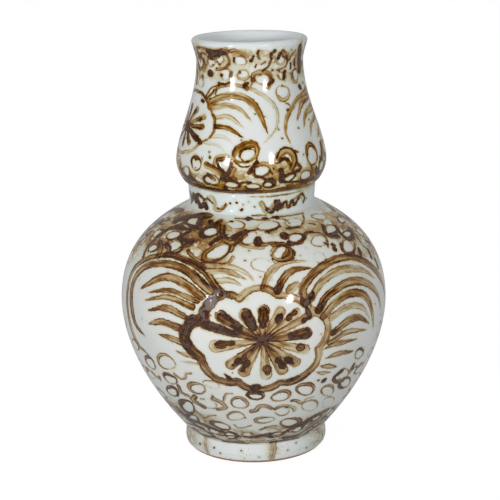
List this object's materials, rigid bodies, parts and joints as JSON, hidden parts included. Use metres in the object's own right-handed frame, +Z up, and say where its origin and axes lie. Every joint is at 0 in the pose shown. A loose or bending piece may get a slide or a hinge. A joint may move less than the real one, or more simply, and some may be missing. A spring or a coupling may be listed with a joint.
{
  "type": "double gourd vase",
  "caption": "Double gourd vase: a flared neck on a tapering upper bulb, a plain collar at the waist, a full lower bulb and a short foot ring, glazed and painted in iron brown.",
  "frame": {"origin": "on the table, at the middle of the foot ring's bottom face", "axes": "+Z up along the axis of the vase, through the mouth; +X to the right and +Y away from the viewer who sees the painted flower panel"},
  "size_m": [0.26, 0.26, 0.406],
  "materials": {
    "painted_glaze": "glossy greenish-white glaze over iron-brown brush painting",
    "celadon_glaze": "glossy pale celadon glaze with brown brush marks",
    "luting_slip": "fired slip under the same glaze"
  },
  "bodies": {
    "root": {"foot_ring": "painted_glaze", "slip_seam_foot": "luting_slip", "lower_bowl": "painted_glaze", "slip_seam_belly": "luting_slip", "lower_shoulder": "painted_glaze", "slip_seam_collar_foot": "luting_slip", "waist_collar": "celadon_glaze", "slip_seam_collar_top": "luting_slip", "upper_bulb": "painted_glaze", "slip_seam_neck": "luting_slip", "mouth_neck": "painted_glaze"}
  },
  "joints": []
}
